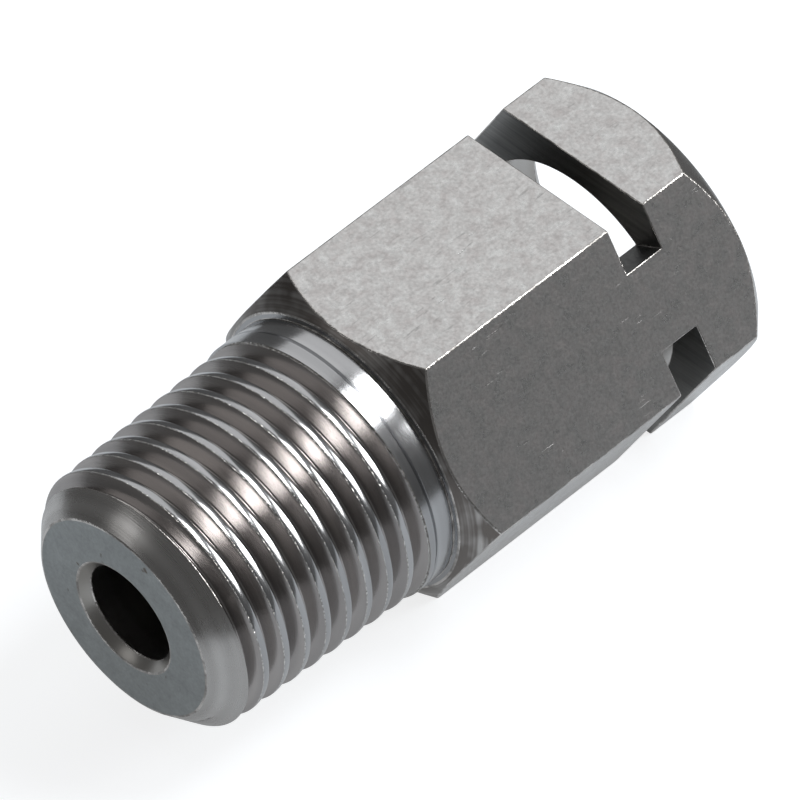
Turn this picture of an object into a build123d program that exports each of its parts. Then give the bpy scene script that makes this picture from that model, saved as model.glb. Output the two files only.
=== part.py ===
from build123d import *
import os
from math import atan, cos, degrees, radians, sin, tan

# Body of a clip-retained coupling, turned and milled from one length of hexagon bar. Millimetres.
# +X runs along the turning axis, out of the socket's mouth, and +Z is the normal of one flat, so the
# part lies on the opposite flat. The origin is the centre of the socket's mouth, and the threaded end
# points towards -X.

os.makedirs("parts", exist_ok=True)

# Bar and lengths
across_flats = 11.0
total_length = 23.7
stem_length = 9.95  # threaded end face to the hexagon's shoulder

# Taper thread R 1/8: 1 in 16 on the diameter, 28 threads to the inch
gauge_diameter = 9.728  # over the crests, at the gauge plane
gauge_length = 3.1  # threaded end face to the gauge plane
thread_taper = 1 / 16
thread_length = 8.5
end_face_diameter = 7.62  # inside the 45 degree lead-in chamfer

# The thread's groove, right-handed, cut with a 55 degree tool that follows the taper
thread_pitch = 25.4 / 28
thread_angle = 55.0
crest_flat = 0.27  # left between one turn of the groove and the next
root_flat = 0.09
groove_start = 0.112  # from the threaded end face to the groove's middle, where the tool goes in
groove_start_angle = 37.0  # of that place round the stem, from the top towards -Y
groove_end_angle = 130.0  # where the tool starts to draw out, in the last turn
groove_turns = 9  # whole turns, before the last part of one
tool_overlap = 0.02  # turns that one turn's cut goes on into the next
tool_over_crests = 0.15  # of the tool's section, outside the crests
tool_run_out = 3.5  # straight on, until the tool is clear of the stem

# Neck between the thread and the hexagon
neck_diameter = 10.2
neck_groove_x = 9.1  # from the threaded end face
neck_groove_width = 0.12
neck_groove_depth = 0.1
shoulder_diameter = 10.6  # flat foot of the hexagon's chamfer

# Cone chamfers that round off the hexagon's corners, as angles from the axis
shoulder_chamfer_angle = 49.0
mouth_chamfer_angle = 42.7
mouth_face_diameter = 10.92

# Flow bore through the stem
flow_bore_diameter = 3.6
countersink_diameter = 4.26  # 90 degree countersink

# Socket in the hexagon's end
socket_diameter = 8.7
socket_depth = 10.5
drill_point_angle = 118.0
mouth_lead_in = 0.45

# Two straight slots for the retaining clip, one each side of the axis
slot_width = 1.6
slot_center = 3.7  # behind the socket's mouth
post_width = 3.0  # left standing between the slots, on two opposite flats
post_flat_angle = 30.0  # of the normal of the flat that carries a post, above the horizontal

corner_radius = across_flats / 2 / cos(radians(30))
thread_end_x = -total_length
shoulder_x = thread_end_x + stem_length
groove_width = thread_pitch - crest_flat
groove_depth = (groove_width - root_flat) / 2 / tan(radians(thread_angle / 2))
tool_height = groove_depth + tool_over_crests
tool_width = root_flat + 2 * tool_height * tan(radians(thread_angle / 2))


def crest_radius(distance):
    """Radius over the thread's crests, at a distance from the threaded end face."""
    return (gauge_diameter + (distance - gauge_length) * thread_taper) / 2


def tool_section(path, place):
    """The threading tool's section, its tip on the path and its width along the turning axis."""
    heading = path % place
    plane = Plane(origin=path @ place, x_dir=Vector(1, 0, 0) - heading * heading.X, z_dir=heading)
    with BuildSketch(plane, mode=Mode.PRIVATE) as section:
        with BuildLine():
            Polyline(
                (-root_flat / 2, 0),
                (root_flat / 2, 0),
                (tool_width / 2, tool_height),
                (-tool_width / 2, tool_height),
                close=True,
            )
        make_face()
    return section.sketch


with BuildPart() as coupling_body:
    # The turned outline: lead-in, taper, grooved neck, shoulder, and the cones of both corner chamfers
    lead_in_rise = crest_radius(0) - end_face_diameter / 2
    lead_in_length = lead_in_rise / (1 - thread_taper / 2)
    neck_groove_start_x = thread_end_x + neck_groove_x
    neck_groove_middle_x = neck_groove_start_x + neck_groove_width / 2
    neck_groove_end_x = neck_groove_start_x + neck_groove_width
    shoulder_chamfer_length = (corner_radius - shoulder_diameter / 2) / tan(radians(shoulder_chamfer_angle))
    mouth_chamfer_length = (corner_radius - mouth_face_diameter / 2) / tan(radians(mouth_chamfer_angle))
    with BuildSketch(Plane.XZ):
        with BuildLine():
            Polyline(
                (thread_end_x, 0),
                (thread_end_x, end_face_diameter / 2),
                (thread_end_x + lead_in_length, crest_radius(lead_in_length)),
                (thread_end_x + thread_length, crest_radius(thread_length)),
                (thread_end_x + thread_length, neck_diameter / 2),
                (neck_groove_start_x, neck_diameter / 2),
                (neck_groove_middle_x, neck_diameter / 2 - neck_groove_depth),
                (neck_groove_end_x, neck_diameter / 2),
                (shoulder_x, neck_diameter / 2),
                (shoulder_x, shoulder_diameter / 2),
                (shoulder_x + shoulder_chamfer_length, corner_radius),
                (-mouth_chamfer_length, corner_radius),
                (0, mouth_face_diameter / 2),
                (0, 0),
                close=True,
            )
        make_face()
    revolve(axis=Axis.X)

    # The thread's groove, one turn at a time on a helix along its root. In the last turn the tool draws
    # out along the tangent.
    last_start_angle = groove_start_angle + 360 * groove_turns
    cuts = [(groove_start_angle + 360 * turn, 1 + tool_overlap) for turn in range(groove_turns)]
    cuts.append((last_start_angle, (groove_turns * 360 + groove_end_angle - last_start_angle) / 360))
    for start_angle, turns in cuts:
        distance = groove_start + start_angle / 360 * thread_pitch
        start_plane = Plane(
            origin=(thread_end_x + distance, 0, 0),
            x_dir=(0, -sin(radians(start_angle)), cos(radians(start_angle))),
            z_dir=(1, 0, 0),
        )
        groove_root = start_plane * Helix(
            thread_pitch,
            thread_pitch * turns,
            crest_radius(distance) - groove_depth,
            cone_angle=degrees(atan(thread_taper / 2)),
            mode=Mode.PRIVATE,
        )
        sweep(sections=tool_section(groove_root, 0), path=groove_root, is_frenet=True, mode=Mode.SUBTRACT)
    extrude(to_extrude=tool_section(groove_root, 1), amount=tool_run_out, mode=Mode.SUBTRACT)

    # The bar's six flats
    with BuildSketch(Plane.YZ.offset(thread_end_x)):
        RegularPolygon(across_flats / 2, 6, major_radius=False)
    extrude(amount=total_length, mode=Mode.INTERSECT)

    # Countersink, flow bore, the drill's cone, the socket and its lead-in, bored on the same axis
    flow_radius = flow_bore_diameter / 2
    socket_radius = socket_diameter / 2
    countersink_depth = countersink_diameter / 2 - flow_radius
    drill_cone_length = (socket_radius - flow_radius) / tan(radians(drill_point_angle / 2))
    with BuildSketch(Plane.XZ):
        with BuildLine():
            Polyline(
                (thread_end_x, 0),
                (thread_end_x, countersink_diameter / 2),
                (thread_end_x + countersink_depth, flow_radius),
                (-socket_depth - drill_cone_length, flow_radius),
                (-socket_depth, socket_radius),
                (-mouth_lead_in, socket_radius),
                (0, socket_radius + mouth_lead_in),
                (0, 0),
                close=True,
            )
        make_face()
    revolve(axis=Axis.X, mode=Mode.SUBTRACT)

    # The clip's slots run straight across the hexagon and break into the socket, one each side of the axis
    slot_plane = Plane(
        origin=(-slot_center, 0, 0),
        x_dir=(0, -cos(radians(post_flat_angle)), sin(radians(post_flat_angle))),
        z_dir=(1, 0, 0),
    )
    cut_size = 2 * across_flats  # larger than the hexagon every way
    with BuildSketch(slot_plane):
        Rectangle(cut_size, cut_size)
        Rectangle(cut_size, post_width, mode=Mode.SUBTRACT)
    extrude(amount=slot_width / 2, both=True, mode=Mode.SUBTRACT)

coupling_body.part.label = "coupling_body"
export_step(coupling_body.part, "parts/coupling_body.step")
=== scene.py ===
from math import cos, hypot, pi, radians, sin, tan

import bpy
from mathutils import Euler, Matrix, Vector


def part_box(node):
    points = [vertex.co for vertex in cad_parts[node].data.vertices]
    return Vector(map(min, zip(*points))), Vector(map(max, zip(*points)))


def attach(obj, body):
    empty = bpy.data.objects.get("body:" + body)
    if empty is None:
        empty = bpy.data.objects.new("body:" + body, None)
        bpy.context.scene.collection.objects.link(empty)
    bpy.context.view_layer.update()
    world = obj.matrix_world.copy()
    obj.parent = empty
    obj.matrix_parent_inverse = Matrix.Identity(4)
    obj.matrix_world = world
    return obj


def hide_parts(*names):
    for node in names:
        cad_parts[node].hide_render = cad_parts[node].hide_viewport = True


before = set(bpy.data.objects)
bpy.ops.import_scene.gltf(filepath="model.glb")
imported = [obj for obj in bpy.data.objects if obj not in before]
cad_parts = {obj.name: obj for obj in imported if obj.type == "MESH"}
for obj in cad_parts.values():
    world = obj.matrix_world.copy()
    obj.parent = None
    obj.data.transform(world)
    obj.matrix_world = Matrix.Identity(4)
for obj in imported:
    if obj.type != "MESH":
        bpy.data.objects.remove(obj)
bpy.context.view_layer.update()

# ---------------------------------------------------------------------------------------------------
# The bar. The whole coupling is cut from one short length of cold drawn hexagon steel bar, 11 mm over
# its flats. The six flats keep the bar's own skin, dull and mottled from tumbling and plating.

mm = 0.001
body_low, body_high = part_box("coupling_body")
across_flats = body_high.z - body_low.z
total_length = body_high.x - body_low.x
thread_end_x = body_low.x
corner_radius = across_flats / 2 / cos(radians(30))


def add_alone(name, add, **settings):
    """Adds a primitive with nothing else selected, and takes its place and turn into its mesh."""
    bpy.ops.object.select_all(action="DESELECT")
    add(**settings)
    shape = bpy.context.object
    shape.name = name
    bpy.ops.object.transform_apply(location=True, rotation=True, scale=True)
    return shape


sawn_off = 1 * mm  # of bar past each finished end
body = add_alone(
    "coupling_body_steel",
    bpy.ops.mesh.primitive_cylinder_add,
    vertices=6,
    radius=corner_radius,
    depth=total_length + 2 * sawn_off,
    location=(thread_end_x + total_length / 2, 0, 0),
    rotation=(0, pi / 2, 0),
)


plain_steel = (0.5, 0.49, 0.48, 1)


def finish_named(name, roughness):
    """A new steel finish: its shader, with the values that are the same all over it."""
    finish = bpy.data.materials.new(name)
    finish.use_nodes = True
    shader = finish.node_tree.nodes["Principled BSDF"]
    shader.inputs["Base Color"].default_value = plain_steel
    shader.inputs["Metallic"].default_value = 1
    shader.inputs["Roughness"].default_value = roughness
    return finish


def add_node(tree, kind, inputs=None, **properties):
    """Adds a shader node. An input is given as a value, or as the output socket that it is linked to."""
    node = tree.nodes.new("ShaderNode" + kind)
    for name, value in properties.items():
        setattr(node, name, value)
    for name, value in (inputs or {}).items():
        if isinstance(value, bpy.types.NodeSocket):
            tree.links.new(value, node.inputs[name])
        else:
            node.inputs[name].default_value = value
    return node


def calculate(tree, operation, *values):
    """A Math node on values or sockets, and its output."""
    return add_node(tree, "Math", dict(enumerate(values)), operation=operation).outputs[0]


def spread(tree, value, low, high, to_low=0, to_high=1):
    """Stretches the stretch low to high of a value over to_low to to_high, and holds it at its ends."""
    ends = {"From Min": low, "From Max": high, "To Min": to_low, "To Max": to_high}
    return add_node(tree, "MapRange", {"Value": value, **ends}, clamp=True).outputs["Result"]


def blend_colors(tree, mask, first, second):
    """Goes from the first colour to the second as the mask goes from 0 to 1."""
    mix = add_node(tree, "Mix", {0: mask}, data_type="RGBA")
    for socket, color in zip((6, 7), (first, second)):
        if isinstance(color, bpy.types.NodeSocket):
            tree.links.new(color, mix.inputs[socket])
        else:
            mix.inputs[socket].default_value = (*color, 1)
    return mix.outputs[2]


def scale_color(tree, color, amount):
    """A colour made lighter or darker by a value about 1."""
    scaled = add_node(tree, "VectorMath", {0: color, "Scale": amount}, operation="SCALE")
    return scaled.outputs["Vector"]


def effect_named(name, settings, results):
    """An empty shader node group: its tree, its Group Input's sockets and its Group Output."""
    tree = bpy.data.node_groups.new(name, "ShaderNodeTree")
    for label, value in settings.items():
        setting = tree.interface.new_socket(label, in_out="INPUT", socket_type="NodeSocketFloat")
        setting.default_value = value
    for label in results:
        tree.interface.new_socket(label, in_out="OUTPUT", socket_type="NodeSocketFloat")
    given = tree.nodes.new("NodeGroupInput").outputs
    out = tree.nodes.new("NodeGroupOutput")
    return tree, given, out


def use_effect(tree, effect, **settings):
    """Puts an effect's node group in a finish, with its own values, and returns its outputs."""
    return add_node(tree, "Group", settings, node_tree=effect).outputs


def place_on_steel(tree):
    """Where a point is on the part, in metres from the socket's mouth."""
    return add_node(tree, "TexCoord").outputs["Object"]


def finish_surface(finish, color=None, roughness=None, height=None, relief=0):
    """Feeds a finish's shader. relief is how high, in metres, a height of 1 stands."""
    tree = finish.node_tree
    shader = tree.nodes["Principled BSDF"]
    if color:
        tree.links.new(color, shader.inputs["Base Color"])
    if roughness:
        tree.links.new(roughness, shader.inputs["Roughness"])
    if height:
        bump = add_node(tree, "Bump", {"Height": height, "Distance": relief, "Strength": 1})
        tree.links.new(bump.outputs["Normal"], shader.inputs["Normal"])


# Tumbled and plated skin: small cloudy patches and a fine frosty grain.
mottle, given, out = effect_named("mottled_skin", {"Patches": 900, "Grain": 8000}, ["Cloud", "Frost"])
place = place_on_steel(mottle)
cloud = add_node(
    mottle,
    "TexNoise",
    {"Vector": place, "Scale": given["Patches"], "Detail": 5, "Roughness": 0.68, "Distortion": 0.4},
)
frost = add_node(
    mottle,
    "TexNoise",
    {"Vector": place, "Scale": given["Grain"], "Detail": 2, "Roughness": 0.6},
)
mottle.links.new(spread(mottle, cloud.outputs["Fac"], 0.32, 0.68), out.inputs["Cloud"])
mottle.links.new(spread(mottle, frost.outputs["Fac"], 0.3, 0.7), out.inputs["Frost"])

# Handling: short hair scratches that run every way, from the parts rubbing on each other in the drum.
handling, given, out = effect_named("handling_marks", {"Scratches": 1500, "Rarity": 0.7}, ["Marks"])
place = place_on_steel(handling)
marks = None
for bearing in ((0.4, 0.3, 0.9), (1.9, 0.8, 2.2), (0.9, 2.4, 1.3), (2.6, 1.4, 0.2)):
    turned_place = add_node(
        handling,
        "Mapping",
        {"Vector": place, "Rotation": bearing, "Scale": (1, 9, 9)},
    )
    along_hair = turned_place.outputs["Vector"]
    hair = add_node(
        handling,
        "TexNoise",
        {"Vector": along_hair, "Scale": given["Scratches"], "Detail": 1, "Distortion": 0.5},
    )
    above = calculate(handling, "SUBTRACT", hair.outputs["Fac"], given["Rarity"])
    scratch = spread(handling, above, 0, 0.03)
    marks = calculate(handling, "MAXIMUM", marks, scratch) if marks else scratch
clusters = add_node(handling, "TexNoise", {"Vector": place, "Scale": 420, "Detail": 2})
marks = calculate(handling, "MULTIPLY", marks, spread(handling, clusters.outputs["Fac"], 0.5, 0.6))
handling.links.new(marks, out.inputs["Marks"])

drawn = finish_named("drawn_flats", roughness=0.3)
tree = drawn.node_tree
skin = use_effect(tree, mottle, Patches=2000, Grain=9000)
rubbed = use_effect(tree, handling, Scratches=1000, Rarity=0.72)["Marks"]
color = blend_colors(tree, skin["Cloud"], (0.46, 0.44, 0.435), (0.585, 0.59, 0.585))
color = scale_color(tree, color, spread(tree, skin["Frost"], 0, 1, 0.85, 1.15))
color = scale_color(tree, color, spread(tree, rubbed, 0, 1, 1, 0.75))
roughness = spread(tree, skin["Cloud"], 0, 1, 0.34, 0.26)
height = calculate(tree, "SUBTRACT", skin["Frost"], rubbed)
finish_surface(drawn, color, roughness, height, relief=0.0015 * mm)
body.data.materials.append(drawn)

# ---------------------------------------------------------------------------------------------------
# The turning. A lathe takes the bar down to the threaded stem, with its taper, its lead-in and the
# grooved neck, and rounds off the hexagon's corners with a cone at the shoulder and at the mouth.

turn_steps = 192
taper = 1 / 16
gauge_diameter = 9.728 * mm
gauge_length = 3.1 * mm
end_face_radius = 3.81 * mm
lead_in_angle = radians(45)
thread_length = 8.5 * mm
neck_radius = 5.1 * mm
groove_x = 9.1 * mm
groove_width = 0.12 * mm
groove_depth = 0.1 * mm
shoulder_x = 9.95 * mm
shoulder_radius = 5.3 * mm
shoulder_angle = radians(49)
mouth_angle = radians(42.7)
mouth_face_radius = 5.46 * mm
edge_break = 0.03 * mm


def crest_radius(distance):
    """Radius over the thread's crests, at a distance from the threaded end face."""
    return (gauge_diameter + (distance - gauge_length) * taper) / 2


def turn(name, outline, finish):
    """Turns a solid about X: a disc at the outline's first point is drawn out from point to point."""
    (x, radius), *rest = outline
    solid = add_alone(
        name,
        bpy.ops.mesh.primitive_circle_add,
        vertices=turn_steps,
        radius=radius,
        fill_type="NGON",
        location=(x, 0, 0),
        rotation=(0, pi / 2, 0),
    )
    bpy.ops.object.mode_set(mode="EDIT")
    bpy.ops.mesh.select_all(action="SELECT")
    for next_x, next_radius in rest:
        bpy.ops.mesh.extrude_region_move(TRANSFORM_OT_translate={"value": (next_x - x, 0, 0)})
        growth = next_radius / radius
        bpy.ops.transform.resize(value=(1, growth, growth), center_override=(next_x, 0, 0))
        x, radius = next_x, next_radius
    bpy.ops.mesh.select_all(action="SELECT")
    bpy.ops.mesh.normals_make_consistent(inside=False)
    bpy.ops.object.mode_set(mode="OBJECT")
    solid.data.materials.append(finish)
    return solid


def shape_by(tool, operation):
    """Cuts the tool out of the body, or keeps what lies inside it. The cut takes the tool's finish."""
    boolean = body.modifiers.new("shape", "BOOLEAN")
    boolean.operation = operation
    boolean.solver = "EXACT"
    boolean.material_mode = "TRANSFER"
    boolean.object = tool
    bpy.ops.object.select_all(action="DESELECT")
    body.select_set(True)
    bpy.context.view_layer.objects.active = body
    bpy.ops.object.modifier_apply(modifier="shape")
    bpy.data.objects.remove(tool)


# Turning marks: rings left by the tool's feed, spaced along the axis or, on a face, outwards from it.
turning, given, out = effect_named("turning_marks", {"Marks": 9000, "Lean": 0}, ["Rings", "Bands"])
place = add_node(turning, "SeparateXYZ", {0: place_on_steel(turning)}).outputs
y_squared = calculate(turning, "MULTIPLY", place["Y"], place["Y"])
z_squared = calculate(turning, "MULTIPLY", place["Z"], place["Z"])
off_axis = calculate(turning, "POWER", calculate(turning, "ADD", y_squared, z_squared), 0.5)
path = add_node(turning, "Mix", {0: given["Lean"], 2: place["X"], 3: off_axis}, data_type="FLOAT").outputs[0]
rings = add_node(
    turning,
    "TexNoise",
    {"W": path, "Scale": given["Marks"], "Detail": 2, "Roughness": 0.7},
    noise_dimensions="1D",
)
wide_marks = calculate(turning, "MULTIPLY", given["Marks"], 0.2)
bands = add_node(
    turning,
    "TexNoise",
    {"W": path, "Scale": wide_marks, "Detail": 1},
    noise_dimensions="1D",
)
worn = add_node(turning, "TexNoise", {"Vector": place_on_steel(turning), "Scale": 900, "Detail": 2})
wear = spread(turning, worn.outputs["Fac"], 0.35, 0.65, 0.4, 1)
broken = calculate(turning, "MULTIPLY", rings.outputs["Fac"], wear)
turning.links.new(broken, out.inputs["Rings"])
turning.links.new(bands.outputs["Fac"], out.inputs["Bands"])

turned = finish_named("turned_faces", roughness=0.24)
tree = turned.node_tree
marks = use_effect(tree, turning, Marks=9000, Lean=0.5)
band = spread(tree, marks["Bands"], 0.35, 0.65)
color = blend_colors(tree, band, (0.42, 0.41, 0.4), (0.52, 0.51, 0.5))
roughness = spread(tree, marks["Rings"], 0.2, 0.7, 0.3, 0.2)
finish_surface(turned, color, roughness, marks["Rings"], relief=0.004 * mm)

bright_turned = finish_named("bright_neck_and_crests", roughness=0.16)
tree = bright_turned.node_tree
marks = use_effect(tree, turning, Marks=11000, Lean=0)
band = spread(tree, marks["Bands"], 0.3, 0.7)
color = blend_colors(tree, band, (0.37, 0.375, 0.385), (0.45, 0.455, 0.465))
roughness = spread(tree, marks["Rings"], 0.2, 0.7, 0.2, 0.12)
finish_surface(bright_turned, color, roughness, marks["Rings"], relief=0.002 * mm)

faced = finish_named("faced_ends", roughness=0.45)
tree = faced.node_tree
marks = use_effect(tree, turning, Marks=7000, Lean=1)
skin = use_effect(tree, mottle, Patches=1500, Grain=9000)
# The ends' dark, bluish tone is partly their duller faced finish and partly painted reflection: it stands in
# for the shaded, bluish card that the ends mirror. The brown specks are stains.
color = blend_colors(tree, skin["Cloud"], (0.31, 0.33, 0.335), (0.38, 0.405, 0.41))
color = scale_color(tree, color, spread(tree, skin["Frost"], 0, 1, 0.92, 1.08))
specks = add_node(tree, "TexNoise", {"Vector": place_on_steel(tree), "Scale": 1700, "Detail": 2})
color = blend_colors(tree, spread(tree, specks.outputs["Fac"], 0.7, 0.76), color, (0.16, 0.14, 0.12))
height = calculate(tree, "ADD", skin["Frost"], calculate(tree, "MULTIPLY", marks["Rings"], 0.6))
finish_surface(faced, color, None, height, relief=0.001 * mm)

# The shoulder's cone is left rough and dark, as the tool cuts the bar's skin away at each corner.
rough_cone = finish_named("rough_shoulder_cone", roughness=0.32)
tree = rough_cone.node_tree
marks = use_effect(tree, turning, Marks=5000, Lean=0.5)
ring = spread(tree, marks["Rings"], 0.25, 0.7)
color = blend_colors(tree, ring, (0.17, 0.155, 0.145), (0.48, 0.47, 0.46))
roughness = spread(tree, marks["Bands"], 0.3, 0.7, 0.38, 0.26)
finish_surface(rough_cone, color, roughness, marks["Rings"], relief=0.006 * mm)

lead_in_rise = crest_radius(0) - end_face_radius
lead_in_length = lead_in_rise / (tan(lead_in_angle) - taper / 2)
beyond_corner = corner_radius + 0.5 * mm
outside = [
    (0, end_face_radius - edge_break),
    (edge_break, end_face_radius + edge_break * (tan(lead_in_angle) - 0.5)),
    (lead_in_length, crest_radius(lead_in_length)),
    (thread_length, crest_radius(thread_length)),
    (thread_length + 0.04 * mm, neck_radius),
    (groove_x, neck_radius),
    (groove_x + groove_width / 2, neck_radius - groove_depth),
    (groove_x + groove_width, neck_radius),
    (shoulder_x - 0.06 * mm, neck_radius),
    (shoulder_x - 0.02 * mm, neck_radius - 0.03 * mm),
    (shoulder_x, shoulder_radius),
    (shoulder_x + (beyond_corner - shoulder_radius) / tan(shoulder_angle), beyond_corner),
    (total_length - (beyond_corner - mouth_face_radius) / tan(mouth_angle), beyond_corner),
    (total_length, mouth_face_radius),
]
outline = [(thread_end_x + distance, radius) for distance, radius in outside]
blank = turn("turned_outside", outline, turned)
blank.data.materials.append(bright_turned)
blank.data.materials.append(faced)
blank.data.materials.append(rough_cone)
for face in blank.data.polygons:
    distance = face.center.x - thread_end_x
    if abs(face.normal.x) > 0.99 and not 0.01 * mm < distance < total_length - 0.01 * mm:
        face.material_index = 2
    elif lead_in_length < distance < shoulder_x:
        face.material_index = 1
    elif shoulder_x < distance < total_length / 2:
        face.material_index = 3
shape_by(blank, "INTERSECT")

# ---------------------------------------------------------------------------------------------------
# The taper thread, R 1/8, 28 turns to the inch. It is screw-cut with a 55 degree tool that follows the
# taper, leaves a narrow flat along each crest with torn edges, and runs out into the neck.

pitch = 25.4 / 28 * mm
half_angle = radians(27.5)
crest_flat = 0.27 * mm
root_round = 0.07 * mm
sharp_lip = [(0.045 * mm, radians(9))]
worn_lip = [(0.05 * mm, radians(20)), (0.75 * mm, radians(5))]
lip_above = 0.002 * mm
groove_start_x = -0.795 * mm
groove_turns = 10.7
run_out_turns = 0.3
clear_of_crest = 0.12 * mm
run_out_rise = 6  # times that clearance, over the run-out
root_steps = 3
lip_steps = 4


def groove_side(rounds):
    """Half of the groove's section, from its root out, as (step along the axis, height over the crest).

    Each round over the flank's top is a radius, and the slope at which it ends."""
    half_width = (pitch - crest_flat) / 2
    flank_slope = pi / 2 - half_angle
    root_centre = root_round / sin(half_angle) - half_width / tan(half_angle)
    side = []
    for step in range(root_steps + 1):
        slope = flank_slope * step / root_steps
        side.append((root_round * sin(slope), root_centre - root_round * cos(slope)))
    lip = [(0, 0)]
    slope = flank_slope
    for radius, last_slope in rounds:
        along, height = lip[-1]
        for step in range(1, lip_steps + 1):
            next_slope = slope + (last_slope - slope) * step / lip_steps
            further = radius * (sin(slope) - sin(next_slope))
            higher = radius * (cos(next_slope) - cos(slope))
            lip.append((along + further, height + higher))
        slope = last_slope
    lip_foot = -lip_above / 2 - lip[-1][1]
    for along, height in lip:
        side.append((half_width + lip_foot * tan(half_angle) + along, lip_foot + height))
    over_crest = side[-1][0] + 3 * lip_above / 2 / tan(slope)
    side.append((over_crest, lip_above))
    side.append((over_crest, clear_of_crest))
    return side


threaded = finish_named("cut_thread", roughness=0.2)
tree = threaded.node_tree
marks = use_effect(tree, turning, Marks=14000, Lean=0.5)
band = spread(tree, marks["Bands"], 0.3, 0.7)
color = blend_colors(tree, band, (0.34, 0.325, 0.32), (0.42, 0.4, 0.39))
roughness = spread(tree, marks["Rings"], 0.2, 0.7, 0.24, 0.17)
finish_surface(threaded, color, roughness, marks["Rings"], relief=0.0012 * mm)

# The tool tears the crest's edges into small bumps, and the light specks in their colour are painted glints
# on that torn metal.
torn_and_glinting = finish_named("torn_crest_edges_glints", roughness=0.18)
tree = torn_and_glinting.node_tree
place = place_on_steel(tree)
tear_and_glint_noise = add_node(tree, "TexNoise", {"Vector": place, "Scale": 9000, "Detail": 2, "Roughness": 0.6})
tear_and_glint = spread(tree, tear_and_glint_noise.outputs["Fac"], 0.35, 0.65)
color = blend_colors(tree, tear_and_glint, (0.35, 0.34, 0.33), (0.75, 0.74, 0.72))
finish_surface(torn_and_glinting, color, None, tear_and_glint, relief=0.03 * mm)
section = [(-along, height) for along, height in reversed(groove_side(worn_lip)[1:])]
section += groove_side(sharp_lip)
groove = add_alone(
    "thread_groove",
    bpy.ops.mesh.primitive_circle_add,
    vertices=len(section),
    radius=mm,
    fill_type="NOTHING",
)
for corner, (along, height) in zip(groove.data.vertices, section):
    corner.co = (along, 0, crest_radius(groove_start_x) + height)

# Half a step on, so that no point of the groove falls on an edge of the turned stem.
groove.data.transform(Matrix.Rotation(pi / turn_steps, 4, "X"))
screw = groove.modifiers.new("screw", "SCREW")
screw.axis = "X"
screw.angle = 2 * pi * groove_turns
screw.screw_offset = pitch * groove_turns
screw.steps = round(turn_steps * groove_turns)
screw.render_steps = screw.steps
screw.use_smooth_shade = False
bpy.ops.object.modifier_apply(modifier="screw")

# The groove follows the taper, and in its last turn it rises out of the steel.
for index, vertex in enumerate(groove.data.vertices):
    turns_done = index // len(section) / turn_steps
    run_out = max(0, turns_done - (groove_turns - run_out_turns)) / run_out_turns
    lift = vertex.co.x * taper / 2 + run_out * clear_of_crest * run_out_rise
    reach = hypot(vertex.co.y, vertex.co.z)
    vertex.co.y *= 1 + lift / reach
    vertex.co.z *= 1 + lift / reach
    vertex.co.x += thread_end_x + groove_start_x

bpy.ops.object.mode_set(mode="EDIT")
bpy.ops.mesh.select_all(action="DESELECT")
bpy.ops.mesh.select_mode(type="EDGE")
bpy.ops.mesh.select_non_manifold(
    use_wire=False, use_multi_face=False, use_non_contiguous=False, use_verts=False
)
bpy.ops.mesh.fill_holes(sides=0)
bpy.ops.mesh.select_all(action="SELECT")
bpy.ops.mesh.normals_make_consistent(inside=False)
bpy.ops.mesh.select_mode(type="VERT")
bpy.ops.object.mode_set(mode="OBJECT")
groove.data.materials.append(threaded)
groove.data.materials.append(torn_and_glinting)
groove.data.materials.append(bright_turned)
for face in groove.data.polygons:
    height = hypot(face.center.y, face.center.z) - crest_radius(face.center.x - thread_end_x)
    if face.normal.x > 0 and height > -0.02 * mm:
        face.material_index = 1
    elif face.normal.x < 0 and height > -0.07 * mm:
        face.material_index = 2
shape_by(groove, "DIFFERENCE")

# ---------------------------------------------------------------------------------------------------
# The bores. A drill goes through the stem, and its mouth is countersunk. From the other end the
# hexagon is drilled and bored out to the socket that the plug goes into, with a small lead-in.

flow_radius = 1.8 * mm
countersink_radius = 2.13 * mm
socket_radius = 4.35 * mm
socket_depth = 10.5 * mm
drill_half_angle = radians(59)
mouth_lead_in = 0.45 * mm
past_face = 0.5 * mm

bored = finish_named("bored_inside", roughness=0.3)
tree = bored.node_tree
marks = use_effect(tree, turning, Marks=6000, Lean=0.3)
band = spread(tree, marks["Bands"], 0.3, 0.7)
color = blend_colors(tree, band, (0.33, 0.315, 0.29), (0.47, 0.46, 0.45))
finish_surface(bored, color, None, marks["Rings"], relief=0.003 * mm)
drill_cone_length = (socket_radius - flow_radius) / tan(drill_half_angle)
bore = [
    (-total_length - past_face, countersink_radius + past_face),
    (-total_length + countersink_radius - flow_radius, flow_radius),
    (-socket_depth - drill_cone_length, flow_radius),
    (-socket_depth, socket_radius),
    (-mouth_lead_in, socket_radius),
    (past_face, socket_radius + mouth_lead_in + past_face),
]
shape_by(turn("bores", bore, bored), "DIFFERENCE")

# ---------------------------------------------------------------------------------------------------
# The clip's slots. A slitting saw cuts straight across the hexagon from both sides, deep enough to
# break into the socket, and leaves a post standing on two opposite flats to carry the end ring.

slot_width = 1.6 * mm
slot_x = -3.7 * mm
post_width = 3 * mm
post_turn = radians(60)

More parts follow.
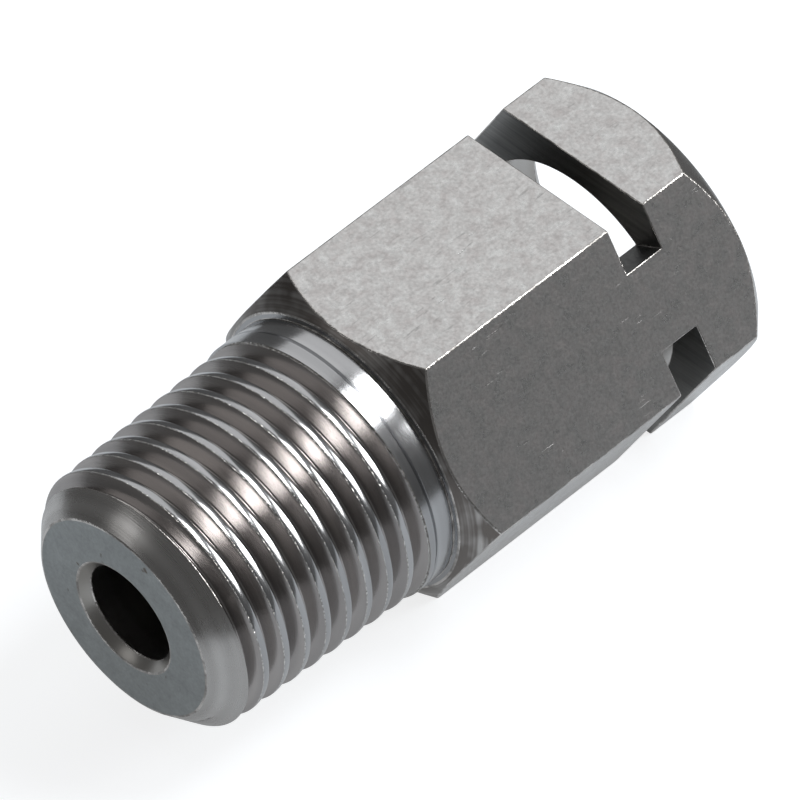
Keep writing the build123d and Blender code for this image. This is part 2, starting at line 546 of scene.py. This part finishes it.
milled = finish_named("sawn_slots", roughness=0.34)
tree = milled.node_tree
along_cut = add_node(
    tree,
    "Mapping",
    {"Vector": place_on_steel(tree), "Rotation": (-post_turn, 0, 0), "Scale": (1, 0.05, 1)},
).outputs["Vector"]
strokes = add_node(tree, "TexNoise", {"Vector": along_cut, "Scale": 7000, "Detail": 2, "Roughness": 0.6})
stroke = spread(tree, strokes.outputs["Fac"], 0.3, 0.7)
color = blend_colors(tree, stroke, (0.19, 0.19, 0.19), (0.3, 0.3, 0.295))
finish_surface(milled, color, None, stroke, relief=0.002 * mm)
for side_of_axis in (1, -1):
    off_axis = side_of_axis * (post_width / 2 + across_flats)
    cut_middle = Matrix.Rotation(post_turn, 3, "X") @ Vector((0, off_axis, 0))
    saw = add_alone(
        "slot",
        bpy.ops.mesh.primitive_cube_add,
        size=2 * across_flats,
        location=(slot_x, cut_middle.y, cut_middle.z),
        rotation=(post_turn, 0, 0),
        scale=(slot_width / (2 * across_flats), 1, 1),
    )
    saw.data.materials.append(milled)
    shape_by(saw, "DIFFERENCE")

# ---------------------------------------------------------------------------------------------------
# The edges. Tumbling breaks every sharp edge of the cut part by a few hundredths of a millimetre and
# burnishes it, so each edge shows as a thin bright line, uneven where a burr was.

edge_width = 0.045 * mm
edge_steps = 3
sharp_edge = radians(24)
smooth_below = radians(32)
weld_gap = 0.0015 * mm

burnished = finish_named("burnished_edges", roughness=0.22)
tree = burnished.node_tree
place = place_on_steel(tree)
burrs = add_node(tree, "TexNoise", {"Vector": place, "Scale": 6000, "Detail": 2, "Roughness": 0.65})
burr = spread(tree, burrs.outputs["Fac"], 0.35, 0.65)
worn = add_node(tree, "TexNoise", {"Vector": place, "Scale": 1300, "Detail": 3, "Roughness": 0.7})
wear = worn.outputs["Fac"]
color = blend_colors(tree, spread(tree, wear, 0.38, 0.6), (0.27, 0.26, 0.25), (0.62, 0.6, 0.58))
roughness = spread(tree, wear, 0.38, 0.6, 0.4, 0.2)
finish_surface(burnished, color, roughness, burr, relief=0.008 * mm)
body.data.materials.append(burnished)
bpy.ops.object.mode_set(mode="EDIT")
bpy.ops.mesh.select_mode(type="VERT")
bpy.ops.mesh.select_all(action="SELECT")
bpy.ops.mesh.remove_doubles(threshold=weld_gap)
bpy.ops.mesh.select_mode(type="EDGE")
bpy.ops.mesh.select_all(action="DESELECT")
bpy.ops.mesh.edges_select_sharp(sharpness=sharp_edge)
bpy.ops.object.mode_set(mode="OBJECT")

# The threaded stretch keeps its own edges, which the tool has torn, and a whole face that is selected
# would bring its edges back.
first_kept = lead_in_length - 0.1 * mm
last_kept = groove_x + 2 * groove_width
for edge in body.data.edges:
    distances = [body.data.vertices[end].co.x - thread_end_x for end in edge.vertices]
    if max(distances) > first_kept and min(distances) < last_kept:
        edge.select = False
for face in body.data.polygons:
    face.select = False
bpy.ops.object.mode_set(mode="EDIT")
bpy.ops.transform.edge_bevelweight(value=1)
bpy.ops.mesh.select_mode(type="VERT")
bpy.ops.object.mode_set(mode="OBJECT")
bevel = body.modifiers.new("broken_edges", "BEVEL")
bevel.limit_method = "WEIGHT"
bevel.width = edge_width
bevel.segments = edge_steps
bevel.material = body.data.materials.find("burnished_edges")
bevel.use_clamp_overlap = False
bpy.ops.object.modifier_apply(modifier="broken_edges")
bpy.ops.object.shade_smooth_by_angle(angle=smooth_below)
weighted = body.modifiers.new("face_weights", "WEIGHTED_NORMAL")
weighted.keep_sharp = True
bpy.ops.object.modifier_apply(modifier="face_weights")

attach(body, "root")
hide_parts("coupling_body")

# ---------------------------------------------------------------------------------------------------
# The studio. The part lies on a sheet of pale card under soft lamps: a hard bright one and a lower one
# behind the threaded end, a broad one over the hexagon's upper flat, and a faint one in front.

floor_size = 60 * mm
floor_gap = 0.005 * mm  # under the flat that the part lies on
lens_share = 0.8  # of a full white, added to the card as the lens sees it
mirror_share = 0.3  # of a full white, added to the card as the steel mirrors it
room_level = 0.13

floor = add_alone(
    "pale_card",
    bpy.ops.mesh.primitive_plane_add,
    size=floor_size,
    location=(thread_end_x / 2, 0, body_low.z - floor_gap),
)


def add_glow(tree, lens, mirror):
    """How strongly a backdrop glows white: a share for the lens, and one for what is mirrored."""
    ray = add_node(tree, "LightPath").outputs
    mirrored = calculate(tree, "MAXIMUM", ray["Is Glossy Ray"], ray["Is Transmission Ray"])
    for_lens = calculate(tree, "MULTIPLY", ray["Is Camera Ray"], lens)
    return calculate(tree, "MAXIMUM", for_lens, calculate(tree, "MULTIPLY", mirrored, mirror))


card = bpy.data.materials.new("pale_card")
card.use_nodes = True
tree = card.node_tree
shader = tree.nodes["Principled BSDF"]
shader.inputs["Base Color"].default_value = (0.34, 0.37, 0.4, 1)
shader.inputs["Roughness"].default_value = 0.8
strength = add_glow(tree, lens_share, mirror_share)
glow = add_node(tree, "Emission", {"Color": (1, 1, 1, 1), "Strength": strength})
lit_and_glowing = add_node(tree, "AddShader", {0: shader.outputs["BSDF"], 1: glow.outputs["Emission"]})
tree.links.new(lit_and_glowing.outputs["Shader"], tree.nodes["Material Output"].inputs["Surface"])
floor.data.materials.append(card)

room = bpy.data.worlds.new("room")
room.use_nodes = True
bpy.context.scene.world = room
tree = room.node_tree
level = calculate(tree, "MAXIMUM", add_glow(tree, 1, room_level), room_level)
tree.links.new(level, tree.nodes["Background"].inputs["Strength"])
tree.nodes["Background"].inputs["Color"].default_value = (1, 1, 1, 1)


def add_softbox(name, azimuth, elevation, distance, width, height, brightness):
    """An area lamp aimed at the part. Its azimuth is counted from +X towards +Y."""
    lamp = bpy.data.lights.new(name, "AREA")
    lamp.shape = "RECTANGLE"
    lamp.size = width
    lamp.size_y = height
    lamp.energy = brightness * pi * width * height
    softbox = bpy.data.objects.new(name, lamp)
    bpy.context.collection.objects.link(softbox)
    across = cos(radians(elevation))
    outwards = Vector(
        (
            cos(radians(azimuth)) * across,
            sin(radians(azimuth)) * across,
            sin(radians(elevation)),
        )
    )
    facing = outwards.to_track_quat("Z", "Y").to_matrix().to_4x4()
    place = Matrix.Translation(outwards * distance + Vector((thread_end_x / 2, 0, 0)))
    softbox.matrix_world = place @ facing
    softbox.visible_camera = False


add_softbox(
    "bright_lamp", azimuth=-25, elevation=56, distance=0.5, width=0.24, height=0.13, brightness=15
)
add_softbox(
    "low_lamp", azimuth=-34, elevation=22, distance=0.5, width=0.22, height=0.22, brightness=8.4
)
add_softbox(
    "broad_lamp", azimuth=60, elevation=45, distance=0.6, width=0.7, height=0.5, brightness=0.84
)
add_softbox(
    "front_lamp", azimuth=150, elevation=26, distance=0.6, width=0.22, height=0.2, brightness=0.7
)

# ---------------------------------------------------------------------------------------------------
# The camera. A long lens looks down on the part from beside its threaded end, rolled a little, so
# that the part runs across the picture from corner to corner.

camera_azimuth = -42.7026
camera_elevation = 47.2203
camera_roll = -3.1978
camera_distance = 434 * mm
camera_aim = Vector((-11.104, 0.001, 0.335)) * mm
lens_length = 600.885
sensor_width = 36

camera = bpy.data.objects.new("camera", bpy.data.cameras.new("camera"))
bpy.context.collection.objects.link(camera)
camera.data.sensor_width = sensor_width
camera.data.lens = lens_length
camera.data.clip_start = 0.01
camera.data.clip_end = 10
turn_to_aim = Euler((radians(90 - camera_elevation), 0, radians(camera_azimuth))).to_matrix().to_4x4()
roll = Matrix.Rotation(radians(camera_roll), 4, "Z")
back_off = Matrix.Translation((0, 0, camera_distance))
camera.matrix_world = Matrix.Translation(camera_aim) @ turn_to_aim @ roll @ back_off
bpy.context.scene.camera = camera
bpy.context.scene.view_settings.view_transform = "Standard"
